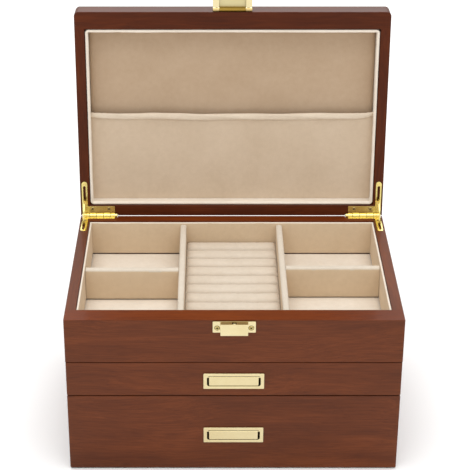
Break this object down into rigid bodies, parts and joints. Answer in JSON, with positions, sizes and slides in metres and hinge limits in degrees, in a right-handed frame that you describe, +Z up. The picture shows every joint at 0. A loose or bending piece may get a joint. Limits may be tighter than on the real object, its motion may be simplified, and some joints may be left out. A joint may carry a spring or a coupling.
{
  "type": "jewelry box",
  "caption": "Wooden jewelry box: hinged lid with a lined pocket, compartmented tray with ring rolls over drawers, brass clasp, quadrant hinges and inset pulls.",
  "frame": {"origin": "centre of the cabinet's footprint, at the surface it stands on", "axes": "+Z up, front towards -Y, +X to the right seen from the front; posed with the lid open against its stop, drawers shut"},
  "size_m": [0.3, 0.2497, 0.3839],
  "materials": {
    "walnut": "satin lacquer",
    "inner_wood": "matt",
    "brass": "polished",
    "screw_brass": "polished",
    "velvet": "short nap",
    "felt": "matt"
  },
  "bodies": {
    "cabinet": {"side_panel_left": "walnut", "side_panel_right": "walnut", "upper_front_panel": "walnut", "back_panel": "walnut", "tray_floor_panel": "inner_wood", "drawer_divider_panel": "inner_wood", "base_panel": "inner_wood", "base_felt": "felt", "tray_lining_floor": "velvet", "tray_lining_front": "velvet", "tray_lining_back": "velvet", "tray_lining_left": "velvet", "tray_lining_right": "velvet", "divider_left": "velvet", "divider_right": "velvet", "cross_divider_left": "velvet", "cross_divider_right": "velvet", "ring_roll_cushion": "velvet", "hinge_leaf_lower_left": "brass", "hinge_leaf_lower_right": "brass", "hinge_pin_left": "brass", "hinge_pin_right": "brass", "latch_keeper": "brass", "latch_catch_nub": "brass", "keeper_screw_left": "screw_brass", "keeper_screw_right": "screw_brass"},
    "lid": {"lid_top_panel": "walnut", "lid_front_rail": "walnut", "lid_back_rail": "walnut", "lid_side_rail_left": "walnut", "lid_side_rail_right": "walnut", "lid_lining_lip": "velvet", "lid_lining_pad": "velvet", "lid_pocket": "velvet", "hinge_leaf_upper_left": "brass", "hinge_leaf_upper_right": "brass", "hasp_plate": "brass", "hasp_pin": "brass"},
    "hasp": {"hasp_flap": "brass"},
    "stay_left": {"lid_stay_left": "brass"},
    "stay_right": {"lid_stay_right": "brass"},
    "upper_drawer": {"upper_drawer_front": "walnut", "upper_drawer_side_left": "inner_wood", "upper_drawer_side_right": "inner_wood", "upper_drawer_back": "inner_wood", "upper_drawer_bottom": "inner_wood", "upper_drawer_lining": "velvet", "upper_drawer_pull_frame": "brass", "upper_drawer_pull_pin": "brass"},
    "lower_drawer": {"lower_drawer_front": "walnut", "lower_drawer_side_left": "inner_wood", "lower_drawer_side_right": "inner_wood", "lower_drawer_back": "inner_wood", "lower_drawer_bottom": "inner_wood", "lower_drawer_lining": "velvet", "lower_drawer_pull_frame": "brass", "lower_drawer_pull_pin": "brass"},
    "upper_pull": {"upper_drawer_pull_tab": "brass"},
    "lower_pull": {"lower_drawer_pull_tab": "brass"}
  },
  "joints": [
    {"name": "lid_hinge", "type": "hinge", "parent": "cabinet", "child": "lid", "pos_m": [0, 0.104, 0.158], "axis": [1, 0, 0], "range_deg": [0, 93.1]},
    {"name": "stay_left_swing", "type": "hinge", "parent": "cabinet", "child": "stay_left", "pos_m": [0, 0.104, 0.158], "axis": [1, 0, 0], "range_deg": [0, 46.55]},
    {"name": "stay_right_swing", "type": "hinge", "parent": "cabinet", "child": "stay_right", "pos_m": [0, 0.104, 0.158], "axis": [1, 0, 0], "range_deg": [0, 46.55]},
    {"name": "hasp_hinge", "type": "hinge", "parent": "lid", "child": "hasp", "pos_m": [0, 0.11715, 0.3675], "axis": [1, 0, 0], "range_deg": [0, 102]},
    {"name": "upper_drawer_slide", "type": "slide", "parent": "cabinet", "child": "upper_drawer", "axis": [0, -1, 0], "range_m": [0, 0.14]},
    {"name": "lower_drawer_slide", "type": "slide", "parent": "cabinet", "child": "lower_drawer", "axis": [0, -1, 0], "range_m": [0, 0.14]},
    {"name": "upper_pull_hinge", "type": "hinge", "parent": "upper_drawer", "child": "upper_pull", "pos_m": [0, -0.1036, 0.0986], "axis": [-1, 0, 0], "range_deg": [0, 80]},
    {"name": "lower_pull_hinge", "type": "hinge", "parent": "lower_drawer", "child": "lower_pull", "pos_m": [0, -0.1036, 0.0411], "axis": [-1, 0, 0], "range_deg": [0, 80]}
  ],
  "couplings": [
    {"joint": "stay_left_swing", "follows": "lid_hinge", "ratio": 0.5},
    {"joint": "stay_right_swing", "follows": "lid_hinge", "ratio": 0.5}
  ]
}
